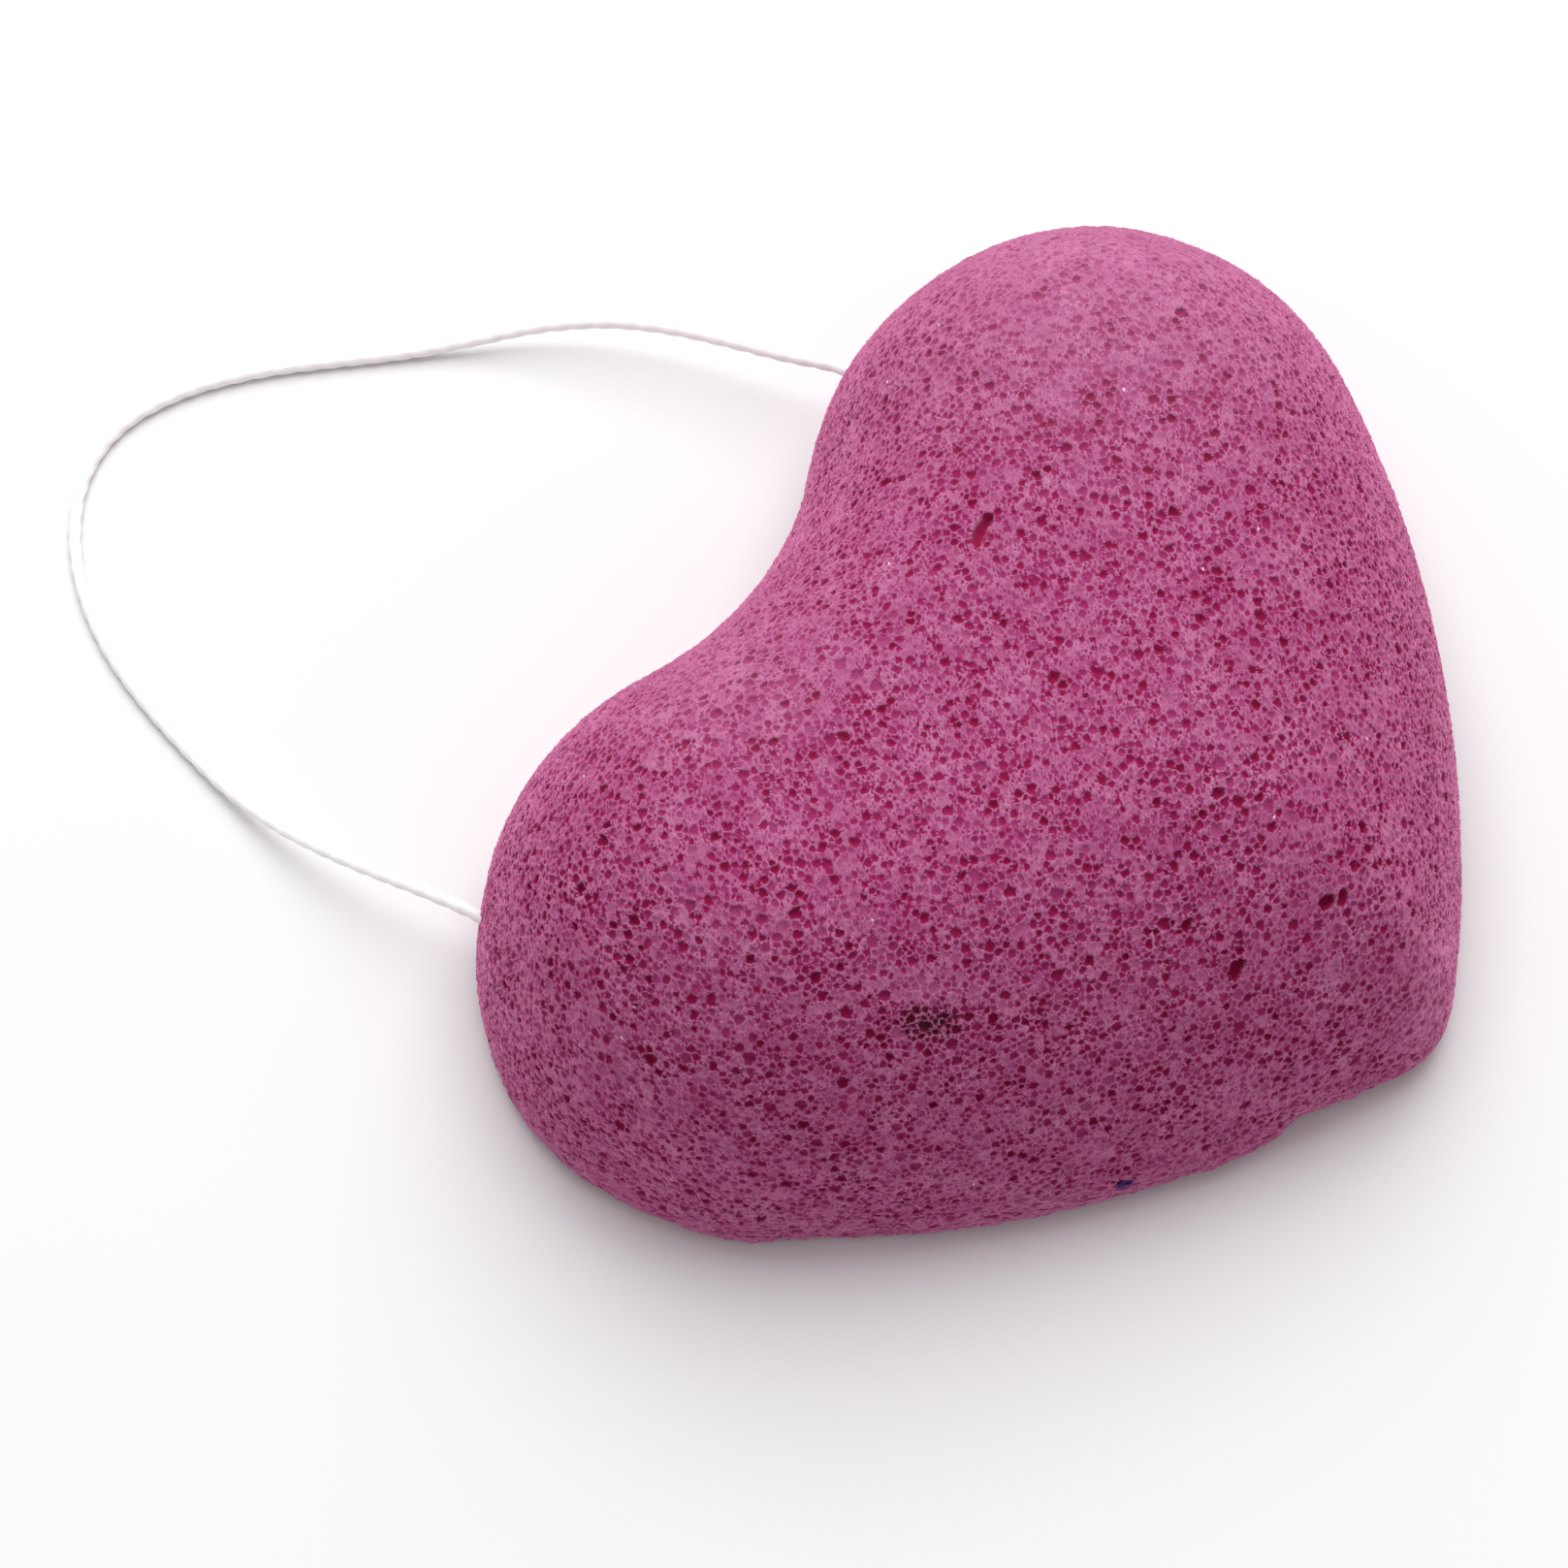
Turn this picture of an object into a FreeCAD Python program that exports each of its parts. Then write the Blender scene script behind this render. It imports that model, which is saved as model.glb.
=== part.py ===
import FreeCAD, Part

# A heart-shaped konjac sponge with its hanging string, in millimetres.
# +Z is up and the sponge lies on its flat base at z = 0. +X runs across the two lobes, +Y runs from the tip
# to the lobes, and the origin is under the middle of the sponge.

import math
import os

from FreeCAD import Vector

# Heart outline of the sponge at its widest, seen from above
lobe_spacing = 43.0  # between the centres of the two lobes
lobe_radius = 22.0
notch_radius = 28.0  # the hollow between the lobes
flank_radius = 86.0  # the long sides from lobe to tip
tip_radius = 7.0
tip_drop = 36.8  # from the line of the lobe centres to the centre of the tip

# Height of the sponge and how its sides draw in
sponge_height = 28.0
crown_inset = 18.5  # the level middle of the top lies this far inside the widest outline
base_edge_inset = 1.2
base_edge_height = 2.0
tip_retreat_share = 1.6  # the tip draws back this many times as far as the lobes
base_steps = 2
crown_steps = 6

# String, and its way through the foam
string_diameter = 1.0
channel_clearance = 0.1  # room round the string and its knot inside the foam
exit_height = 6.3
right_exit_angle = 89.0  # where the string leaves each lobe, in degrees from straight sideways
left_exit_angle = 61.5
exit_gap = 0.3  # between the end of the buried string and the end of the free loop
crossing_depth = 12.5  # from the tops of the lobes to the string's way across below the notch
inner_bend_radius = 8.0
cut_overrun = 2.0

# Knot that ties the two ends of the string inside the foam
knot_length = 4.6
knot_diameter = 3.4
knot_end_diameter = 1.8
tail_length = 4.0
tail_angle = 60.0  # degrees that each cut end stands off the string
tail_root_share = 0.2  # of the knot's length, from its middle to where a cut end starts

# Free loop of string: the points of its route from the right exit to the left one
loop_route = [
    (20.8, 38.0, 5.2),
    (19.8, 42.7, 4.5),
    (18.5, 47.3, 4.1),
    (16.7, 51.9, 3.4),
    (14.0, 56.4, 2.3),
    (10.6, 60.4, 1.1),
    (7.0, 64.3, 0.5),
    (3.3, 68.6, 0.5),
    (-0.8, 73.1, 0.5),
    (-5.6, 77.0, 0.5),
    (-10.9, 79.2, 0.5),
    (-16.1, 78.6, 0.5),
    (-20.6, 76.0, 0.5),
    (-24.2, 72.4, 0.5),
    (-27.0, 68.0, 0.5),
    (-29.0, 63.1, 0.5),
    (-30.5, 58.0, 0.5),
    (-31.7, 53.2, 0.8),
    (-32.4, 48.6, 1.7),
    (-32.6, 44.2, 2.9),
    (-32.5, 39.8, 4.1),
    (-32.2, 35.3, 5.4),
]
arc_room_share = 0.45  # of the shorter run beside a corner, taken up by the corner's arc

# Places that follow from the sizes above
string_radius = string_diameter / 2
lobe_x = lobe_spacing / 2
lobe_y = (tip_drop + tip_radius - lobe_radius) / 2
notch_y = lobe_y + math.sqrt((lobe_radius + notch_radius) ** 2 - lobe_x**2)
tip_y = lobe_y - tip_drop
crown_height = sponge_height - base_edge_height
crossing_y = lobe_y + lobe_radius - crossing_depth
exit_stand_off = string_radius + exit_gap


def angle_towards(start, end):
    """The level direction from one point to another, in radians from +X."""
    return math.atan2(end.y - start.y, end.x - start.x)


def arc_about(centre, radius, start_angle, end_angle):
    """A level arc about a centre, from one angle to another."""
    angles = (start_angle, (start_angle + end_angle) / 2, end_angle)
    points = [centre + Vector(math.cos(angle), math.sin(angle), 0) * radius for angle in angles]
    return Part.Arc(*points).toShape()


def mirrored(point):
    """The same point on the other side of the sponge."""
    return Vector(-point.x, point.y, point.z)


def meeting_centre(first, first_distance, second, second_distance):
    """The level point at these distances from two others, on the left of the way from first to second."""
    way = second - first
    span = way.Length
    along = (span**2 + first_distance**2 - second_distance**2) / (2 * span)
    aside = math.sqrt(first_distance**2 - along**2)
    way.normalize()
    return first + way * along + Vector(-way.y, way.x, 0) * aside


def heart_outline(height, inset):
    """The heart at one level, drawn in by the inset from its widest outline: six arcs that run smoothly on."""
    lobe = Vector(lobe_x, lobe_y, height)
    notch = Vector(0, notch_y, height)
    tip = Vector(0, tip_y + tip_retreat_share * inset, height)
    lobe_reach = lobe_radius - inset
    notch_reach = notch_radius + inset
    flank_reach = flank_radius - inset
    flank = meeting_centre(tip, flank_reach - tip_radius, lobe, flank_reach - lobe_reach)
    notch_side = angle_towards(notch, lobe)
    lobe_top = angle_towards(lobe, notch)
    lobe_side = angle_towards(flank, lobe)
    tip_side = angle_towards(flank, tip)
    return Part.Wire(
        [
            arc_about(notch, notch_reach, -math.pi - notch_side, notch_side),
            arc_about(lobe, lobe_reach, lobe_top, lobe_side),
            arc_about(flank, flank_reach, lobe_side, tip_side),
            arc_about(tip, tip_radius, tip_side, -math.pi - tip_side),
            arc_about(mirrored(flank), flank_reach, math.pi - tip_side, math.pi - lobe_side),
            arc_about(mirrored(lobe), lobe_reach, math.pi - lobe_side, math.pi - lobe_top),
        ]
    )


def crown_inset_at(height):
    """How far the side has drawn in at a level above the base edge."""
    rise_share = (height - base_edge_height) / crown_height
    return crown_inset * (1 - math.sqrt(1 - rise_share**2))


def sponge_form():
    """The moulded foam before the string goes in: a flat base, a small rounded base edge and a domed top."""
    outlines = []
    for step in range(base_steps):
        turn = math.pi / 2 * (1 - step / base_steps)
        height = base_edge_height * (1 - math.sin(turn))
        outlines.append(heart_outline(height, base_edge_inset * (1 - math.cos(turn))))
    for step in range(crown_steps + 1):
        turn = math.pi / 2 * step / crown_steps
        height = base_edge_height + crown_height * math.sin(turn)
        outlines.append(heart_outline(height, crown_inset * (1 - math.cos(turn))))
    return Part.makeLoft(outlines, True, False)


def string_exit(side, exit_angle):
    """Where the string's middle leaves the foam, on the right lobe (side 1) or the left lobe (side -1)."""
    reach = lobe_radius - crown_inset_at(exit_height)
    turn = math.radians(exit_angle)
    return Vector(side * (lobe_x + reach * math.cos(turn)), lobe_y + reach * math.sin(turn), exit_height)


def tube(path, diameter):
    """A round tube along a path of straight runs and arcs that run smoothly on."""
    start = path.Edges[0]
    along = start.tangentAt(start.FirstParameter)
    ring = Part.Circle(start.valueAt(start.FirstParameter), along, diameter / 2)
    return path.makePipeShell([Part.Wire(ring.toShape())], True, False)


def buried_path(exit_point, knot_side, lead_out, lead_in):
    """The way of the string inside the foam: in from its exit, round a bend and across to the knot.

    lead_out lengthens it past the exit, and lead_in past the end of the knot.
    """
    side = math.copysign(1, exit_point.x - knot_side.x)
    bend = Vector(exit_point.x - side * inner_bend_radius, crossing_y + inner_bend_radius, exit_height)
    outer_angle = 0 if side > 0 else math.pi
    outside = exit_point + Vector(0, lead_out, 0)
    bend_start = Vector(exit_point.x, bend.y, exit_height)
    bend_end = Vector(bend.x, crossing_y, exit_height)
    inside = knot_side - Vector(side * lead_in, 0, 0)
    return Part.Wire(
        [
            Part.LineSegment(outside, bend_start).toShape(),
            arc_about(bend, inner_bend_radius, outer_angle, outer_angle - side * math.pi / 2),
            Part.LineSegment(bend_end, inside).toShape(),
        ]
    )


def knot_form(middle, room):
    """A tight barrel of a knot with its two cut ends, enlarged all round by some room."""
    half_length = knot_length / 2 + room
    end_radius = knot_end_diameter / 2 + room
    left_end = middle - Vector(half_length, 0, 0)
    right_end = middle + Vector(half_length, 0, 0)
    left_rim = left_end + Vector(0, 0, end_radius)
    right_rim = right_end + Vector(0, 0, end_radius)
    crest = middle + Vector(0, 0, knot_diameter / 2 + room)
    half_section = Part.Wire(
        [
            Part.LineSegment(left_end, left_rim).toShape(),
            Part.Arc(left_rim, crest, right_rim).toShape(),
            Part.LineSegment(right_rim, right_end).toShape(),
            Part.LineSegment(right_end, left_end).toShape(),
        ]
    )
    form = Part.Face(half_section).revolve(middle, Vector(1, 0, 0), 360)
    lean = math.radians(tail_angle)
    for side in (-1, 1):
        root = middle + Vector(side * tail_root_share * knot_length, 0, 0)
        way = Vector(side * math.cos(lean), 0, math.sin(lean))
        form = form.fuse(Part.makeCylinder(string_radius + room, tail_length + room, root, way))
    return form


def rounded_path(points):
    """A path through straight runs whose corners are tangent arcs, each as large as its two runs allow."""
    edges = []
    radii = []
    run_start = points[0]
    for before, corner, after in zip(points, points[1:], points[2:]):
        way_in = (corner - before).normalize()
        way_out = (after - corner).normalize()
        room = arc_room_share * min((corner - before).Length, (after - corner).Length)
        half_turn = way_in.getAngle(way_out) / 2
        radius = room / math.tan(half_turn)
        arc_start = corner - way_in * room
        arc_end = corner + way_out * room
        inwards = (way_out - way_in).normalize()
        crest = corner + inwards * (radius / math.cos(half_turn) - radius)
        edges.append(Part.LineSegment(run_start, arc_start).toShape())
        edges.append(Part.Arc(arc_start, crest, arc_end).toShape())
        radii.append(radius)
        run_start = arc_end
    edges.append(Part.LineSegment(run_start, points[-1]).toShape())
    print("bend radii of the loop:", [round(radius, 1) for radius in radii])
    return Part.Wire(edges)


def string_loop(right_pivot, left_pivot):
    """The free loop from one exit to the other. Its rounded ends stand just outside the foam, where it turns."""
    points = [right_pivot] + [Vector(*point) for point in loop_route] + [left_pivot]
    path = rounded_path(points)
    loop = tube(path, string_diameter)
    print("loop length:", round(path.Length, 2), "tube volume:", round(loop.Volume, 3))
    print("section times length:", round(math.pi * string_radius**2 * path.Length, 3))
    for end, neighbour in ((points[0], points[1]), (points[-1], points[-2])):
        loop = loop.fuse(Part.makeSphere(string_radius, end, end - neighbour, 0, 90, 360))
    return loop.removeSplitter()


right_exit = string_exit(1, right_exit_angle)
left_exit = string_exit(-1, left_exit_angle)
right_pivot = right_exit + Vector(0, exit_stand_off, 0)
left_pivot = left_exit + Vector(0, exit_stand_off, 0)
knot_middle = Vector((right_exit.x + left_exit.x) / 2, crossing_y, exit_height)
right_knot_end = knot_middle + Vector(knot_length / 2, 0, 0)
left_knot_end = knot_middle - Vector(knot_length / 2, 0, 0)

channel_diameter = string_diameter + 2 * channel_clearance
right_channel = tube(buried_path(right_exit, right_knot_end, cut_overrun, 0), channel_diameter)
left_channel = tube(buried_path(left_exit, left_knot_end, cut_overrun, 0), channel_diameter)
hollow = knot_form(knot_middle, channel_clearance).fuse([right_channel, left_channel])

parts = {
    "sponge_body": sponge_form().cut(hollow),
    "string_buried_right": tube(buried_path(right_exit, right_knot_end, 0, 0), string_diameter),
    "string_buried_left": tube(buried_path(left_exit, left_knot_end, 0, 0), string_diameter),
    "string_knot": knot_form(knot_middle, 0),
    "string_loop": string_loop(right_pivot, left_pivot),
}

print("loop turns about:", right_pivot, left_pivot)
os.makedirs("parts", exist_ok=True)
for name, shape in parts.items():
    print(name, shape.isValid(), len(shape.Solids), round(shape.Volume, 2))
    shape.exportStep(f"parts/{name}.step")
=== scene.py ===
import math

import bpy
import numpy as np
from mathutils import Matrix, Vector, kdtree, noise


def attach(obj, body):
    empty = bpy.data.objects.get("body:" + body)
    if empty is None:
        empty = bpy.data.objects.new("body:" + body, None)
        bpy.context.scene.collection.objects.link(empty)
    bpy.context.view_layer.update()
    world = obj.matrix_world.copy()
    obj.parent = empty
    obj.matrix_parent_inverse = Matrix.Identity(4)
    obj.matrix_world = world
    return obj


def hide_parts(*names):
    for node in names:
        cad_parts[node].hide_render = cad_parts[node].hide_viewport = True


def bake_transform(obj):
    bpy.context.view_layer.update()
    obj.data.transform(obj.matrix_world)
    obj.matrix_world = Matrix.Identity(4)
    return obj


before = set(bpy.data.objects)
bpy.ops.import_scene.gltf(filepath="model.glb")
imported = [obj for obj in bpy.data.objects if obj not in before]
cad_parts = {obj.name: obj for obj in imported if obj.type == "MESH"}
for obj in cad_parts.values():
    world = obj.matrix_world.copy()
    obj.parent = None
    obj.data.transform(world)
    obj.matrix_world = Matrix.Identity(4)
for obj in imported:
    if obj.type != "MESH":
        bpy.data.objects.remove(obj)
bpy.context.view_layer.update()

mm = 0.001

# Camera: its place and aim were fitted to the photographed outline
camera_place = Vector((-191.5, -103.1, 426.5)) * mm
camera_aim = Vector((-7.8, 19.3, 0.0)) * mm
camera_lens = 147.2
camera_sensor_width = 36.0
camera_nearest = 10.0  # nothing nearer than this is drawn

# String: two plies laid round each other, with a soft groove between them
string_diameter = 1.0
groove_depth = 0.2  # share of the string's radius
lay_length = 3.6  # along the string, for one full turn of a ply
string_sides = 28
fibre_ridges = 9  # bundles of fibre that show round the string
fibre_ridge_depth = 0.035  # share of the string's radius
fibre_lay = 0.6  # turns of the bundles for one turn of the plies
route_steps = 12  # points along the smooth line for each control point

# The free loop's route from the right exit to the left one, with its ends just inside the foam
loop_route = [
    (21.88, 31.4, 6.3),
    (21.88, 33.44, 6.3),
    (20.8, 38.0, 5.2),
    (19.8, 42.7, 4.5),
    (18.5, 47.3, 4.1),
    (16.7, 51.9, 3.4),
    (14.0, 56.4, 2.3),
    (10.6, 60.4, 1.1),
    (7.0, 64.3, 0.5),
    (3.3, 68.6, 0.5),
    (-0.8, 73.1, 0.5),
    (-5.6, 77.0, 0.5),
    (-10.9, 79.2, 0.5),
    (-16.1, 78.6, 0.5),
    (-20.6, 76.0, 0.5),
    (-24.2, 72.4, 0.5),
    (-27.0, 68.0, 0.5),
    (-29.0, 63.1, 0.5),
    (-30.5, 58.0, 0.5),
    (-31.7, 53.2, 0.8),
    (-32.4, 48.6, 1.7),
    (-32.6, 44.2, 2.9),
    (-32.5, 39.8, 4.1),
    (-32.2, 35.3, 5.4),
    (-31.88, 30.81, 6.3),
    (-31.88, 28.8, 6.3),
]

# The string inside the foam: from each exit in to the knot behind the notch
buried_right_route = [
    (21.88, 31.4, 6.3),
    (21.88, 28.4, 6.3),
    (21.88, 22.7, 6.3),
    (19.6, 20.4, 6.3),
    (13.9, 20.4, 6.3),
    (5.0, 20.4, 6.3),
    (-2.7, 20.4, 6.3),
]
buried_left_route = [
    (-31.88, 28.8, 6.3),
    (-31.88, 27.6, 6.3),
    (-31.88, 22.7, 6.3),
    (-29.6, 20.4, 6.3),
    (-23.9, 20.4, 6.3),
    (-16.0, 20.4, 6.3),
    (-7.3, 20.4, 6.3),
]
knot_middle = Vector((-5.0, 20.4, 6.3))
knot_wraps = 4
knot_wrap_radius = 1.2
knot_wrap_pitch = 1.0
knot_wrap_points = 12  # for each wrap
tail_length = 4.0
tail_lean = math.radians(60)
tail_root = 0.92  # from the knot's middle, along the string
tail_points = (0, 0.35, 0.7, 1.0)  # shares of a tail's length

# Foam: its mesh, and the waves and grain of the moulded skin
foam_merge_distance = 0.001
foam_voxel = 0.34
foam_softening = 0.5
foam_softening_rounds = 3
wave_length = 9.0
wave_height = 0.2
wave_level = 0.6  # share of the wave that lies below the moulded form
grain_size = 0.6
grain_height = 0.24
grain_level = 0.5  # share of the grain that lies below the moulded form

# Foam: the open pores
pore_seed = 41
pore_kinds = [  # tries on a square millimetre, least radius, largest radius
    (0.05, 0.40, 0.52),
    (0.90, 0.27, 0.38),
    (8.00, 0.18, 0.27),
    (14.0, 0.12, 0.18),
]
pore_spacing = 0.8  # of two neighbours' radii added up
pore_growth = 1.42  # of the radius, where no other pore is near
pore_reach = 1.6  # of the radius, within which a point of the mesh may belong to a pore
pore_least_width = 0.8  # of the length
pore_corners = [(3, 0.10), (5, 0.07)]  # how many go round a pore's edge, and how far out they stand
pore_least_likeness = 0.3  # between the facing of a pore and of a point that it may take
pore_least_depth = 0.35  # of the radius
pore_tone_depth = 0.7  # of the radius, added in the darkest pores
shared_wall = 0.25  # of the radius, between two pores that meet

# Foam: the pores' tones, which set each pore's depth and the painted shade in its hollow, from 0, which is
# as pale as the walls, to 1, which is the darkest
tone_spread = (1.4, 2.2)  # of a beta distribution: most pores are rather pale and few are dark
tone_gain = 1.35  # on every tone, before it is held to 1
small_pore = 0.12
large_pore = 0.35
small_pore_tone = 0.6  # share of a large pore's tone
patch_size = 3.5  # of hazy patches where the pores are fainter
patch_middle_tone = 0.9  # share of the tone that is left midway into a patch
patch_strength = 0.6
patch_least_tone = 0.6

# Foam: the band along the base where the pores are faint and drawn out along the rim
lip_height = 5.5
lip_tone = 0.45
lip_pore_width = 0.4  # of the width elsewhere
lip_pore_length = 1.25  # of the radius
lip_mixing = (0.4, 1.0)  # shares of the band's height between which round pores are mixed in

# Painted sheen: paler patches with fainter pores, standing in for the pale haze that the light lays on some
# edges, with their places, radii and strengths
painted_sheen_patches = [
    ((33.0, 18.0, 22.0), 28.0, 1.0),
    ((-14.0, 20.0, 23.0), 13.0, 0.6),
    ((2.0, -33.0, 9.0), 9.0, 0.8),
]
painted_sheen_tone = 0.7  # share of the pores' tone that is left
painted_sheen_wash = 0.2  # share of the pale colour laid over

# Flaws of this sponge: torn or burst pores, with their places, ways, half lengths, half widths and depths
torn_pores = [
    ((5.1, 10.9, 27.9), (0.97, 0.26, 0.0), 1.5, 0.42, 0.75),
    ((-10.7, -21.0, 19.2), (0.83, 0.55, 0.0), 1.0, 0.5, 0.75),
    ((-3.0, -23.8, 20.2), (0.2, -0.6, 0.5), 0.8, 0.42, 0.7),
    ((-2.0, -24.4, 20.0), (0.9, 0.3, 0.0), 0.6, 0.4, 0.6),
]
torn_pore_tone = 1.0
torn_margin_along = 0.2  # round a torn pore, where no other pore starts
torn_margin_across = 0.3
stain_place = (-27.1, -5.9, 21.7)
stain_way = (0.55, -0.83, 0.0)
stain_half_length = 2.6
stain_half_width = 1.5
stain_reach = 1.25  # of the oval, to where the stain has faded out
stain_pore_tones = (0.7, 1.0)
speck_place = (-22.7, -20.1, 3.3)
speck_radius = 0.9
speck_firmness = 3.0  # times its soft falloff, which gives the speck a clear edge
painted_glint_count = 40  # painted glints: white specks in the colour where dry crystals would catch the light

# Base rim: ragged, with a torn bulge and a few dents
rim_height = 3.0
rim_waves = [(2.2, 0.32), (0.8, 0.18)]  # lengths and heights
torn_bulge_place = (-16.6, -24.7, 1.2)
torn_bulge_radius = 4.0
torn_bulge_raggedness = 2.0  # how many times higher the waves are there
rim_swells = [  # places, radii and heights; a dent has a height below 0
    (torn_bulge_place, torn_bulge_radius, 0.3),
    ((-10.2, -28.6, 1.5), 4.0, -0.9),
    ((-6.3, -30.6, 1.5), 4.0, -0.5),
    ((-37.0, -5.0, 3.0), 9.0, -0.45),
    ((-43.0, 8.0, 3.0), 9.0, -0.35),
]


def select_only(piece):
    """Makes a piece the only selected one, and the active one."""
    bpy.ops.object.select_all(action="DESELECT")
    piece.select_set(True)
    bpy.context.view_layer.objects.active = piece


def new_piece(name, mesh):
    """Adds a mesh to the scene as a piece at the origin."""
    piece = bpy.data.objects.new(name, mesh)
    bpy.context.scene.collection.objects.link(piece)
    return piece


def apply_modifier(piece, kind, **settings):
    """Adds a modifier with its settings and applies it."""
    select_only(piece)
    modifier = piece.modifiers.new(kind.lower(), kind)
    for setting, value in settings.items():
        setattr(modifier, setting, value)
    bpy.ops.object.modifier_apply(modifier=modifier.name)


def smooth_line(route):
    """Points, in metres, along the smooth NURBS line that has a route as its control points."""
    curve = bpy.data.curves.new("route", "CURVE")
    curve.dimensions = "3D"
    spline = curve.splines.new("NURBS")
    spline.points.add(len(route) - 1)
    for control, place in zip(spline.points, route):
        control.co = (*(Vector(place) * mm), 1)
    spline.order_u = 3
    spline.use_endpoint_u = True
    spline.resolution_u = route_steps
    guide = bpy.data.objects.new("route", curve)
    bpy.context.scene.collection.objects.link(guide)
    bpy.context.view_layer.update()
    mesh = bpy.data.meshes.new_from_object(guide)
    line = [vertex.co.copy() for vertex in mesh.vertices]
    bpy.data.objects.remove(guide)
    bpy.data.curves.remove(curve)
    bpy.data.meshes.remove(mesh)
    return line


def string_rings(line):
    """Rings of points along a line for a two-ply string, and how far along the line each ring is."""
    along = 0.0
    sideways = line[1].orthogonal()
    rings = []
    runs = []
    for index, place in enumerate(line):
        before = line[max(index - 1, 0)]
        after = line[min(index + 1, len(line) - 1)]
        forward = (after - before).normalized()
        sideways = (sideways - forward * sideways.dot(forward)).normalized()
        upwards = forward.cross(sideways)
        along += (place - before).length
        turn = 2 * math.pi * along / (lay_length * mm)
        ring = []
        for side in range(string_sides):
            angle = 2 * math.pi * side / string_sides
            groove = groove_depth * (1 - abs(math.cos(angle - turn)))
            ridge = fibre_ridge_depth * math.cos(fibre_ridges * (angle - fibre_lay * turn))
            reach = string_diameter / 2 * mm * (1 - groove + ridge)
            ring.append(place + (sideways * math.cos(angle) + upwards * math.sin(angle)) * reach)
        rings.append(ring)
        runs.append(along)
    return rings, runs


def twisted_string(name, lines):
    """A piece of two-ply string along one or more lines. Its UV map is along and round the string, in mm."""
    points = []
    faces = []
    corner_uv = []
    girth = math.pi * string_diameter
    for line in lines:
        rings, runs = string_rings(line)
        first = len(points)
        for ring in rings:
            points.extend(ring)
        for step in range(len(rings) - 1):
            for side in range(string_sides):
                near = first + step * string_sides
                far = near + string_sides
                following = (side + 1) % string_sides
                faces.append((near + side, near + following, far + following, far + side))
                round_start = girth * side / string_sides
                round_end = girth * (side + 1) / string_sides
                run_start = runs[step] / mm
                run_end = runs[step + 1] / mm
                corner_uv.extend([(run_start, round_start), (run_start, round_end)])
                corner_uv.extend([(run_end, round_end), (run_end, round_start)])
        last = len(points) - string_sides
        faces.append(tuple(reversed(range(first, first + string_sides))))
        faces.append(tuple(range(last, last + string_sides)))
        corner_uv.extend([(0.0, 0.0)] * string_sides)
        corner_uv.extend([(runs[-1] / mm, 0.0)] * string_sides)
    mesh = bpy.data.meshes.new(name)
    mesh.from_pydata(points, [], faces)
    layer = mesh.uv_layers.new(name="string_run")
    layer.data.foreach_set("uv", [number for pair in corner_uv for number in pair])
    mesh.shade_smooth()
    return new_piece(name, mesh)


def read_points(mesh, name):
    """A vector of each vertex of a mesh, as rows of an array."""
    rows = np.empty(len(mesh.vertices) * 3)
    mesh.vertices.foreach_get(name, rows)
    return rows.reshape(-1, 3)


def unit(rows):
    """Each row of an array at length 1."""
    return rows / np.linalg.norm(rows, axis=1, keepdims=True)


def point_tree(rows):
    """A search tree of points."""
    tree = kdtree.KDTree(len(rows))
    for index, point in enumerate(rows):
        tree.insert(point, index)
    tree.balance()
    return tree


def falloff(rows, middle, radius):
    """1 at a place, falling smoothly to 0 at a radius from it."""
    share = np.clip(np.linalg.norm(rows - np.array(middle), axis=1) / radius, 0, 1)
    return (1 - share**2) ** 2


def oval_share(rows, middle, way, half_length, half_width):
    """How far out points lie in an oval patch: 0 in its middle, 1 on its edge."""
    offset = rows - np.array(middle)
    along = offset @ np.array(Vector(way).normalized())
    across = np.sqrt(np.maximum(np.sum(offset**2, axis=1) - along**2, 0))
    return np.hypot(along / half_length, across / half_width)


def hex_colour(code):
    """An sRGB hex colour as linear red, green, blue and alpha."""
    shares = [int(code[start : start + 2], 16) / 255 for start in (1, 3, 5)]
    return tuple(s / 12.92 if s <= 0.04045 else ((s + 0.055) / 1.055) ** 2.4 for s in shares) + (1.0,)


def new_material(name):
    """A material with no nodes yet."""
    material = bpy.data.materials.new(name)
    material.use_nodes = True
    material.node_tree.nodes.clear()
    return material


def add_node(material, kind, inputs=(), **settings):
    """Adds a node to a material with its settings. Each input is given a value, or a socket to link to."""
    node = material.node_tree.nodes.new(kind)
    for setting, value in settings.items():
        setattr(node, setting, value)
    for name, value in dict(inputs).items():
        if isinstance(value, bpy.types.NodeSocket):
            material.node_tree.links.new(value, node.inputs[name])
        else:
            node.inputs[name].default_value = value
    return node


# Camera
camera_data = bpy.data.cameras.new("camera")
camera_data.lens = camera_lens
camera_data.sensor_width = camera_sensor_width
camera_data.clip_start = camera_nearest * mm
camera = bpy.data.objects.new("camera", camera_data)
camera.location = camera_place
camera.rotation_euler = (camera_aim - camera_place).to_track_quat("-Z", "Y").to_euler()
bpy.context.scene.collection.objects.link(camera)
bpy.context.scene.camera = camera

# String: the free loop, the two runs inside the foam, and the knot
loop_line = smooth_line(loop_route)
loop = twisted_string("cotton_loop", [loop_line])
buried_right = twisted_string("cotton_run_right", [smooth_line(buried_right_route)])
buried_left = twisted_string("cotton_run_left", [smooth_line(buried_left_route)])

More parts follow.
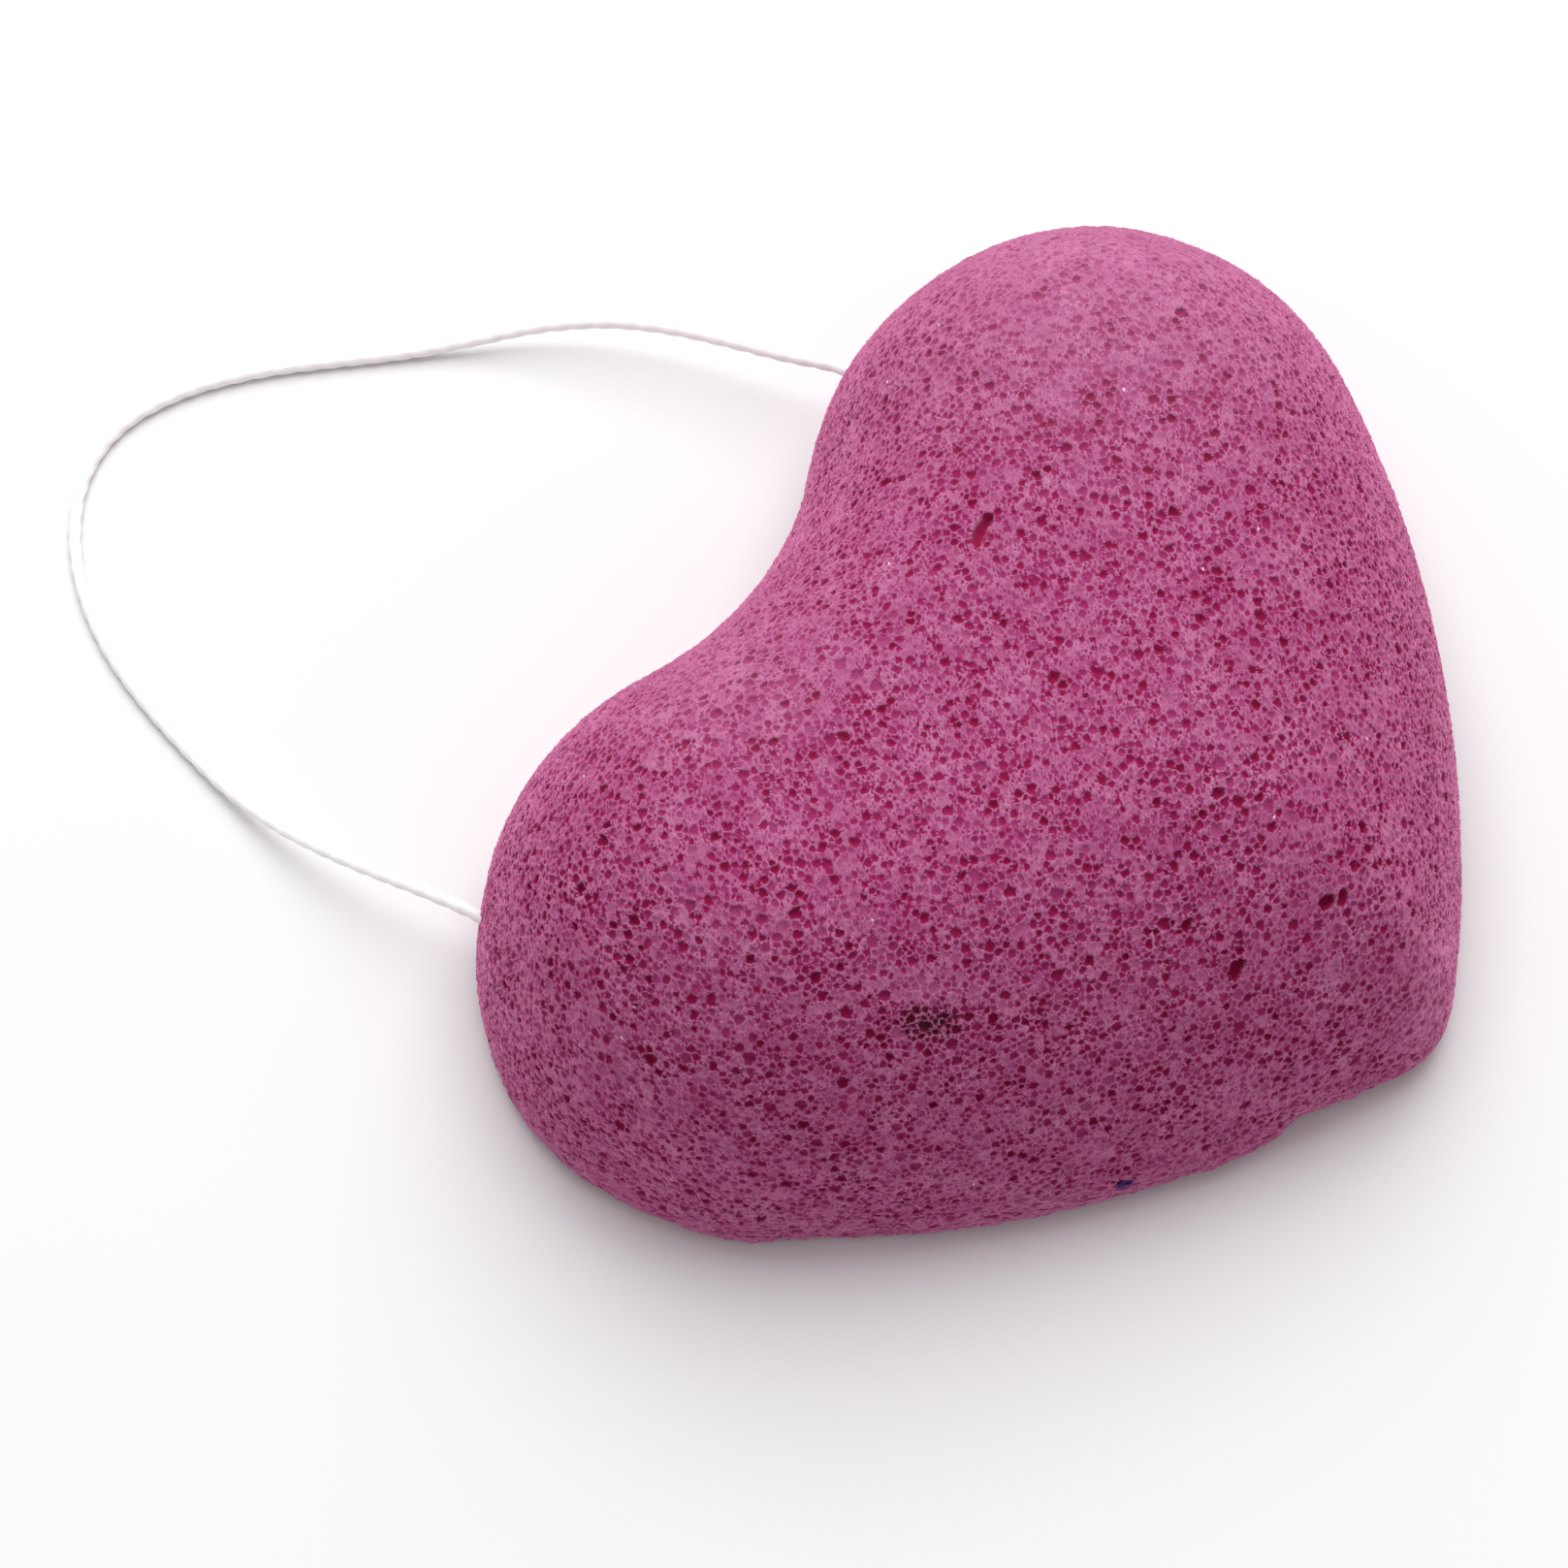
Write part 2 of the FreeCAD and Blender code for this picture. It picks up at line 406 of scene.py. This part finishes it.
wrap_route = []
for step in range(knot_wraps * knot_wrap_points + 1):
    turn = 2 * math.pi * step / knot_wrap_points
    along = knot_wrap_pitch * (step / knot_wrap_points - knot_wraps / 2)
    across = knot_wrap_radius * math.cos(turn)
    upwards = knot_wrap_radius * math.sin(turn)
    wrap_route.append(knot_middle + Vector((along, across, upwards)))
knot_lines = [smooth_line(wrap_route)]
for side in (-1, 1):
    root = knot_middle + Vector((side * tail_root, 0, 0))
    way = Vector((side * math.cos(tail_lean), 0, math.sin(tail_lean)))
    knot_lines.append(smooth_line([root + way * tail_length * share for share in tail_points]))
knot = twisted_string("cotton_knot", knot_lines)

# Foam: a copy of the solid is remeshed evenly, softened, divided once more and given its waves and grain
sponge = new_piece("sponge_foam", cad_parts["sponge_body"].data.copy())
sponge.data.materials.clear()
select_only(sponge)
bpy.ops.object.mode_set(mode="EDIT")
bpy.ops.mesh.select_all(action="SELECT")
bpy.ops.mesh.remove_doubles(threshold=foam_merge_distance * mm)
bpy.ops.object.mode_set(mode="OBJECT")
voxel = foam_voxel
apply_modifier(sponge, "REMESH", mode="VOXEL", voxel_size=voxel * mm)
apply_modifier(sponge, "SMOOTH", factor=foam_softening, iterations=foam_softening_rounds)
apply_modifier(sponge, "SUBSURF", levels=1, render_levels=1)
for name, size, height, level in (
    ("foam_waves", wave_length, wave_height, wave_level),
    ("foam_grain", grain_size, grain_height, grain_level),
):
    clouds = bpy.data.textures.new(name, "CLOUDS")
    clouds.noise_scale = size * mm
    apply_modifier(
        sponge, "DISPLACE", texture=clouds, texture_coords="LOCAL", strength=height * mm, mid_level=level
    )

foam_mesh = sponge.data
points = read_points(foam_mesh, "co") / mm
facing = read_points(foam_mesh, "normal")
point_count = len(points)
random = np.random.default_rng(pore_seed)

# Base rim: ragged off the base, and then swollen and dented sideways, so that the base stays flat
off_base = np.clip(1 + facing[:, 2], 0, 1)
near_rim = np.clip(1 - points[:, 2] / rim_height, 0, 1)
on_bulge = falloff(points, torn_bulge_place, torn_bulge_radius)
outwards = np.zeros(point_count)
for length, height in rim_waves:
    waves = np.array([noise.noise(Vector(point) / length) for point in points])
    outwards += height * waves * near_rim * (1 + (torn_bulge_raggedness - 1) * on_bulge)
points += facing * (outwards * off_base)[:, None]
for place, radius, height in rim_swells:
    nearby = falloff(points, place, radius)[:, None]
    way_out = np.sum(facing * nearby, axis=0) * (1, 1, 0)
    points += height * nearby * way_out / np.linalg.norm(way_out)

# Pores: tried in order of size, each strikes out the smaller ones that would come too near it
foam_area = sum(face.area for face in foam_mesh.polygons) / mm**2
radii = np.concatenate(
    [random.uniform(least, largest, int(tries * foam_area)) for tries, least, largest in pore_kinds]
)
radii = np.sort(radii)[::-1]
try_count = len(radii)
tried = random.integers(0, point_count, try_count)
tried_tree = point_tree(points[tried])
free = np.ones(try_count, bool)
for place, way, half_length, half_width, _ in torn_pores:
    free_length = half_length + torn_margin_along
    free_width = half_width + torn_margin_across
    free[oval_share(points[tried], place, way, free_length, free_width) < 1] = False
kept = []
for index in range(try_count):
    if not free[index]:
        continue
    kept.append(index)
    neighbours = tried_tree.find_range(points[tried[index]], pore_spacing * 2 * radii[index])
    for _, other, distance in neighbours:
        if distance < pore_spacing * (radii[index] + radii[other]):
            free[other] = False
kept_count = len(kept)
pore_point = tried[kept]
pore_radius = radii[kept]

# Tones of the pores: by size, and fainter in hazy patches, along the base and under the painted sheen
size_share = np.clip((pore_radius - small_pore) / (large_pore - small_pore), 0, 1)
pore_tone = random.beta(*tone_spread, kept_count) * (small_pore_tone + (1 - small_pore_tone) * size_share)
pore_tone = np.clip(pore_tone * tone_gain, 0, 1)
patch = np.array([noise.noise(Vector(point) / patch_size) for point in points[pore_point]])
pore_tone *= np.clip(patch_middle_tone + patch_strength * patch, patch_least_tone, 1)
above_lip = np.clip(points[pore_point][:, 2] / lip_height, 0, 1)
pore_tone *= lip_tone + (1 - lip_tone) * above_lip
# The painted sheen's patches, where the pores grow fainter and a pale colour is laid over
painted_sheen = np.zeros(point_count)
for place, radius, strength in painted_sheen_patches:
    painted_sheen = np.maximum(painted_sheen, strength * falloff(points, place, radius))
pore_tone *= 1 - (1 - painted_sheen_tone) * painted_sheen[pore_point]

# Shapes of the pores: ovals that lie any way, but along the rim near the base. The stained ones are dark
pore_width = random.uniform(pore_least_width, 1.0, kept_count)
stain_oval = oval_share(points, stain_place, stain_way, stain_half_length, stain_half_width)
in_stain = stain_oval[pore_point] < 1
pore_tone[in_stain] = random.uniform(*stain_pore_tones, np.count_nonzero(in_stain))
pore_depth = pore_radius * (pore_least_depth + pore_tone_depth * pore_tone)
lengthwise = random.normal(size=(kept_count, 3))
in_lip = above_lip < random.uniform(*lip_mixing, kept_count)
pore_width[in_lip] *= lip_pore_width
pore_radius[in_lip] *= lip_pore_length
lengthwise[in_lip] = np.cross(facing[pore_point[in_lip]], (0, 0, 1))

# Torn pores are added to the rest
foam_tree = point_tree(points)
for place, way, half_length, half_width, depth in torn_pores:
    pore_point = np.append(pore_point, foam_tree.find(place)[1])
    pore_radius = np.append(pore_radius, half_length)
    pore_tone = np.append(pore_tone, torn_pore_tone)
    pore_width = np.append(pore_width, half_width / half_length)
    pore_depth = np.append(pore_depth, depth)
    lengthwise = np.vstack([lengthwise, way])
pore_count = len(pore_point)

# Each pore with each point of the mesh within its reach
pair_pore = []
pair_point = []
for index in range(pore_count):
    found = foam_tree.find_range(points[pore_point[index]], pore_reach * pore_radius[index])
    pair_pore.extend([index] * len(found))
    pair_point.extend([other for _, other, _ in found])
pair_pore = np.array(pair_pore)
pair_point = np.array(pair_point)

# How far out in a pore each point lies: 0 in its middle and 1 at its radius, as an oval with soft corners
pore_facing = facing[pore_point]
sideways = unit(np.cross(pore_facing, lengthwise))
lengthwise = np.cross(sideways, pore_facing)
offset = points[pair_point] - points[pore_point][pair_pore]
along = np.sum(offset * lengthwise[pair_pore], axis=1) / pore_radius[pair_pore]
across = np.sum(offset * sideways[pair_pore], axis=1) / (pore_radius * pore_width)[pair_pore]
angle = np.arctan2(across, along)
corner_turns = random.uniform(0, 2 * math.pi, (pore_count, len(pore_corners)))[pair_pore]
outline = np.ones(len(pair_pore))
for (corner_count, corner_height), turn in zip(pore_corners, corner_turns.T):
    outline += corner_height * np.sin(corner_count * angle + turn)
share = np.hypot(along, across) / outline
likeness = np.sum(facing[pair_point] * pore_facing[pair_pore], axis=1)
share[likeness < pore_least_likeness] = pore_reach

# Each point belongs to the pore that it lies deepest in, and a wall stands where two pores meet
order = np.lexsort((share, pair_point))
owner_change = np.append(True, np.diff(pair_point[order]) > 0)
deepest = np.flatnonzero(owner_change)
second = np.minimum(deepest + 1, len(order) - 1)
own_point = pair_point[order][deepest]
own_pore = pair_pore[order][deepest]
own_share = share[order][deepest]
next_share = np.where(owner_change[second], pore_reach, share[order][second])
inset = np.minimum(pore_growth - own_share, next_share - own_share - shared_wall)

# The pores are hollowed out as round bowls, and the base is kept on the floor
bowl = np.clip(inset, 0, 1)
hollow = np.zeros(point_count)
hollow[own_point] = pore_depth[own_pore] * np.sqrt(1 - (1 - bowl) ** 2)
hollowed = points - facing * hollow[:, None]
hollowed[:, 2] = np.maximum(hollowed[:, 2], 0)
foam_mesh.vertices.foreach_set("co", (hollowed * mm).ravel())

# Marks on the mesh for the foam's material: pore_inset is how far a point lies inside its pore's edge
tone = np.zeros(point_count)
tone[own_point] = pore_tone[own_pore]
edge_inset = np.full(point_count, -1.0)
edge_inset[own_point] = inset * pore_radius[own_pore]
# Painted glints: a few points turned white, standing in for tiny highlights
painted_glint = np.zeros(point_count)
painted_glint[random.integers(0, point_count, painted_glint_count)] = 1
foam_marks = {
    "pore_tone": tone,
    "pore_inset": edge_inset,
    "painted_sheen": painted_sheen * painted_sheen_wash,
    "stain": np.clip(stain_reach - stain_oval, 0, 1),
    "speck": np.clip(speck_firmness * falloff(points, speck_place, speck_radius), 0, 1),
    "painted_glint": painted_glint,
}
for name, values in foam_marks.items():
    layer = foam_mesh.attributes.new(name, "FLOAT", "POINT")
    layer.data.foreach_set("value", values.astype(np.float32))
foam_mesh.update()
foam_mesh.shade_smooth()

# Konjac foam, moulded and dyed pink: matt, pale hazy cell walls, with the crimson depths of the open pores
# and small cells as painted shade.
# The webs between its finest cells are too fine to show, so they are drawn coarser, at web_size
foam_shades = [  # from the cell walls to the darkest pores
    (0.0, "#BD7F9F"),
    (0.2, "#A5567F"),
    (0.4, "#933468"),
    (0.6, "#8C1853"),
    (0.8, "#890744"),
    (1.0, "#840038"),
]
painted_sheen_colour = "#E2A3C7"
stain_colour = "#33161D"
speck_colour = "#0C0850"
painted_glint_colour = "#FFF4FA"
foam_sheen_colour = "#FF9ACB"
edge_slope = 0.13  # from a pore's edge inwards, to where it has its full tone
cell_size = 0.3  # of the small cells in the skin between the pores
cell_hollow_share = 0.3  # of the cell's size, out to where its hollow is at its darkest
cell_wall_share = 0.55  # of the cell's size, to where its wall is pale
cell_darkest = 0.5
cells_whole = 0.12  # outwards from a pore's edge, to where the small cells show wholly
cells_gone = 0.02  # outwards from a pore's edge, to where they don't show
web_size = 0.14
web_darkest = 0.16
haze_size = 3.5
haze_darkest = 0.15
noise_low = 0.3  # nearly all of Blender's noise lies between these two
noise_high = 0.7
foam_bump_strength = 0.5
foam_bump_height = 0.15

foam = new_material("konjac_foam_moulded")
where = add_node(foam, "ShaderNodeTexCoord").outputs["Object"]
marks = {}
for name in foam_marks:
    marks[name] = add_node(foam, "ShaderNodeAttribute", attribute_name=name).outputs["Fac"]

# Open pores: painted shade inside each pore's edge, as deep as its tone
in_pore = add_node(
    foam,
    "ShaderNodeMapRange",
    {"Value": marks["pore_inset"], "From Min": 0.0, "From Max": edge_slope},
    interpolation_type="SMOOTHSTEP",
).outputs["Result"]
pore_painted_shade = add_node(
    foam, "ShaderNodeMath", {0: marks["pore_tone"], 1: in_pore}, operation="MULTIPLY"
).outputs[0]

# Small cells in the skin between the pores: painted shade in each cell's hollow, as dark as chance has it
cells = add_node(foam, "ShaderNodeTexVoronoi", {"Vector": where, "Scale": 1 / (cell_size * mm)})
cell_hollow = add_node(
    foam,
    "ShaderNodeMapRange",
    {
        "Value": cells.outputs["Distance"],
        "From Min": cell_hollow_share,
        "From Max": cell_wall_share,
        "To Min": cell_darkest,
        "To Max": 0,
    },
    interpolation_type="SMOOTHSTEP",
).outputs["Result"]
cell_chance = add_node(foam, "ShaderNodeSeparateColor", {"Color": cells.outputs["Color"]}).outputs["Red"]
cell_tone = add_node(
    foam, "ShaderNodeMath", {0: cell_hollow, 1: cell_chance}, operation="MULTIPLY"
).outputs[0]
off_pores = add_node(
    foam,
    "ShaderNodeMapRange",
    {
        "Value": marks["pore_inset"],
        "From Min": -cells_whole,
        "From Max": -cells_gone,
        "To Min": 1,
        "To Max": 0,
    },
).outputs["Result"]
cell_painted_shade = add_node(
    foam, "ShaderNodeMath", {0: cell_tone, 1: off_pores}, operation="MULTIPLY"
).outputs[0]
painted_cell_and_pore_shade = add_node(
    foam, "ShaderNodeMath", {0: pore_painted_shade, 1: cell_painted_shade}, operation="MAXIMUM"
).outputs[0]

# Webs between the finest cells, and a haze of dye over all of it
web = add_node(foam, "ShaderNodeTexNoise", {"Vector": where, "Scale": 1 / (web_size * mm), "Detail": 1})
web_shade = add_node(
    foam,
    "ShaderNodeMapRange",
    {"Value": web.outputs["Fac"], "From Min": noise_low, "From Max": noise_high, "To Max": web_darkest},
).outputs["Result"]
hollowness = add_node(foam, "ShaderNodeMath", {0: painted_cell_and_pore_shade, 1: web_shade}, operation="ADD").outputs[0]
haze = add_node(
    foam,
    "ShaderNodeTexNoise",
    {"Vector": where, "Scale": 1 / (haze_size * mm), "Detail": 4, "Roughness": 0.6},
)
haze_shade = add_node(
    foam,
    "ShaderNodeMapRange",
    {"Value": haze.outputs["Fac"], "From Min": noise_low, "From Max": noise_high, "To Max": haze_darkest},
).outputs["Result"]
# The painted shade of cells and pores, with the webs' grain and the dye's haze added
shade = add_node(foam, "ShaderNodeMath", {0: hollowness, 1: haze_shade}, operation="ADD").outputs[0]

# Colour: the shade's own, then washed with painted sheen, stained, specked and given painted glints
shade_ramp = add_node(foam, "ShaderNodeValToRGB", {"Fac": shade})
stops = shade_ramp.color_ramp.elements
stops.remove(stops[1])
stops[0].color = hex_colour(foam_shades[0][1])
for position, code in foam_shades[1:]:
    stops.new(position).color = hex_colour(code)
stain_share = add_node(
    foam, "ShaderNodeMath", {0: shade, 1: marks["stain"]}, operation="MULTIPLY", use_clamp=True
).outputs[0]
colour = shade_ramp.outputs["Color"]
for mark, code in (
    (marks["painted_sheen"], painted_sheen_colour),
    (stain_share, stain_colour),
    (marks["speck"], speck_colour),
    (marks["painted_glint"], painted_glint_colour),
):
    colour = add_node(
        foam, "ShaderNodeMix", {"Factor": mark, "A": colour, "B": hex_colour(code)}, data_type="RGBA"
    ).outputs["Result"]
foam_bump = add_node(
    foam,
    "ShaderNodeBump",
    {"Height": hollowness, "Strength": foam_bump_strength, "Distance": foam_bump_height * mm},
    invert=True,
)
foam_shader = add_node(
    foam,
    "ShaderNodeBsdfPrincipled",
    {
        "Base Color": colour,
        "Roughness": 0.7,
        "Specular IOR Level": 0.05,
        "Sheen Weight": 1.0,
        "Sheen Roughness": 0.5,
        "Sheen Tint": hex_colour(foam_sheen_colour),
        "Normal": foam_bump.outputs["Normal"],
    },
)
add_node(foam, "ShaderNodeOutputMaterial", {"Surface": foam_shader.outputs["BSDF"]})
foam_mesh.materials.append(foam)

# Cotton string, twisted from two plies: matt white fibre that light goes a little way into.
# Single fibres are 0.02 mm thick, too fine to show, so streaks as coarse as bundles of them are drawn
cotton_shades = [(0.3, "#F4F2F1"), (0.6, "#FEFEFE")]
streak_length = 0.8333
streak_width = 0.1111
cotton_bump_strength = 0.5
cotton_bump_height = 0.06
cotton_light_depth = 0.5

cotton = new_material("cotton_string_twisted")
run = add_node(cotton, "ShaderNodeUVMap", uv_map="string_run").outputs["UV"]
streak_scale = (1 / streak_length, 1 / streak_width, 1.0)
stretched = add_node(cotton, "ShaderNodeMapping", {"Vector": run, "Scale": streak_scale})
streaks = add_node(
    cotton, "ShaderNodeTexNoise", {"Vector": stretched.outputs["Vector"], "Scale": 1.0, "Detail": 3}
).outputs["Fac"]
cotton_ramp = add_node(cotton, "ShaderNodeValToRGB", {"Fac": streaks})
for stop, (position, code) in zip(cotton_ramp.color_ramp.elements, cotton_shades):
    stop.position = position
    stop.color = hex_colour(code)
cotton_bump = add_node(
    cotton,
    "ShaderNodeBump",
    {"Height": streaks, "Strength": cotton_bump_strength, "Distance": cotton_bump_height * mm},
)
cotton_shader = add_node(
    cotton,
    "ShaderNodeBsdfPrincipled",
    {
        "Base Color": cotton_ramp.outputs["Color"],
        "Roughness": 0.9,
        "Specular IOR Level": 0.2,
        "Subsurface Weight": 0.7,
        "Subsurface Radius": (1.0, 0.95, 0.9),
        "Subsurface Scale": cotton_light_depth * mm,
        "Sheen Weight": 0.3,
        "Sheen Roughness": 0.5,
        "Normal": cotton_bump.outputs["Normal"],
    },
)
add_node(cotton, "ShaderNodeOutputMaterial", {"Surface": cotton_shader.outputs["BSDF"]})
for piece in (loop, buried_right, buried_left, knot):
    piece.data.materials.append(cotton)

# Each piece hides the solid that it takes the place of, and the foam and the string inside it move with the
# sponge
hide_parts("sponge_body")
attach(sponge, "sponge")
for piece, node in (
    (buried_right, "string_buried_right"),
    (buried_left, "string_buried_left"),
    (knot, "string_knot"),
):
    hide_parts(node)
    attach(piece, "sponge")
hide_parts("string_loop")
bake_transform(loop)

# Floor: a wide sheet of uncoated paper, matt and nearly white
floor_size = 6000.0
floor_colour = "#E8E9E9"
bpy.ops.object.select_all(action="DESELECT")
bpy.ops.mesh.primitive_plane_add(size=floor_size * mm, location=(0, 0, 0))
floor = bpy.context.object
floor.name = "floor"
paper = new_material("paper_uncoated")
paper_shader = add_node(
    paper,
    "ShaderNodeBsdfPrincipled",
    {"Base Color": hex_colour(floor_colour), "Roughness": 0.9, "Specular IOR Level": 0.1},
)
add_node(paper, "ShaderNodeOutputMaterial", {"Surface": paper_shader.outputs["BSDF"]})
floor.data.materials.append(paper)

# Light: one wide soft light from above and behind, in a bright room with a hint of pink
light_place = Vector((440.0, 290.0, 850.0)) * mm
light_size = 1050.0
light_power = 12.0
room_colour = (1, 0.95, 0.975, 1)
room_brightness = 0.5
light_data = bpy.data.lights.new("light_behind", "AREA")
light_data.shape = "SQUARE"
light_data.size = light_size * mm
light_data.energy = light_power
light = bpy.data.objects.new("light_behind", light_data)
light.location = light_place
light.rotation_euler = (-light_place).to_track_quat("-Z", "Y").to_euler()
bpy.context.scene.collection.objects.link(light)

room = bpy.data.worlds.new("bright_room")
room.use_nodes = True
background = room.node_tree.nodes["Background"]
background.inputs["Color"].default_value = room_colour
background.inputs["Strength"].default_value = room_brightness
bpy.context.scene.world = room
bpy.context.scene.view_settings.view_transform = "Standard"
